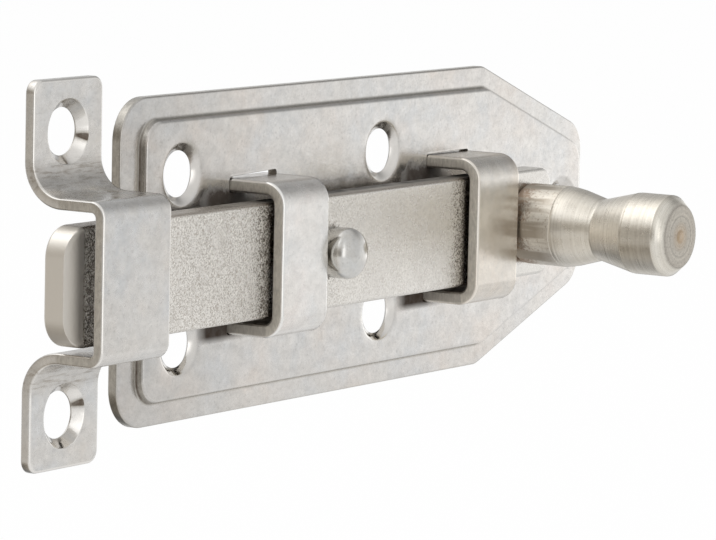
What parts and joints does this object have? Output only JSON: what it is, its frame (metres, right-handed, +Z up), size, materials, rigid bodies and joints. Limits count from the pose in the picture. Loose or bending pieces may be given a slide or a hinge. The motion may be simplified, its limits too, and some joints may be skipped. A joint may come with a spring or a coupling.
{
  "type": "window bolt",
  "caption": "Surface-mounted slide bolt: a flat steel bar with a turned knob runs in two straps on a pressed plate and shoots into a bridge keeper.",
  "frame": {"origin": "middle of the rectangle of four corner screw holes, on the mounting plane at the plate's back", "axes": "X along the bar with the thrown tip at -X, -Y out of the mounting surface towards the user, +Z up across the plate"},
  "size_m": [0.1421, 0.036, 0.0518],
  "materials": {
    "plate_steel": "tumbled satin stainless sheet",
    "strap_steel": "tumbled satin stainless strip",
    "bar_steel": "blasted stainless bar",
    "pin_steel": "polished stainless stud",
    "knob_steel": "turned stainless knob"
  },
  "bodies": {
    "plate": {"back_plate": "plate_steel", "guide_tip": "strap_steel", "guide_knob": "strap_steel", "keeper": "strap_steel"},
    "bolt": {"bolt_bar": "bar_steel", "stop_pin": "pin_steel", "knob": "knob_steel"}
  },
  "joints": [
    {"name": "bolt_slide", "type": "slide", "parent": "plate", "child": "bolt", "axis": [1, 0, 0], "range_m": [0, 0.031]}
  ]
}
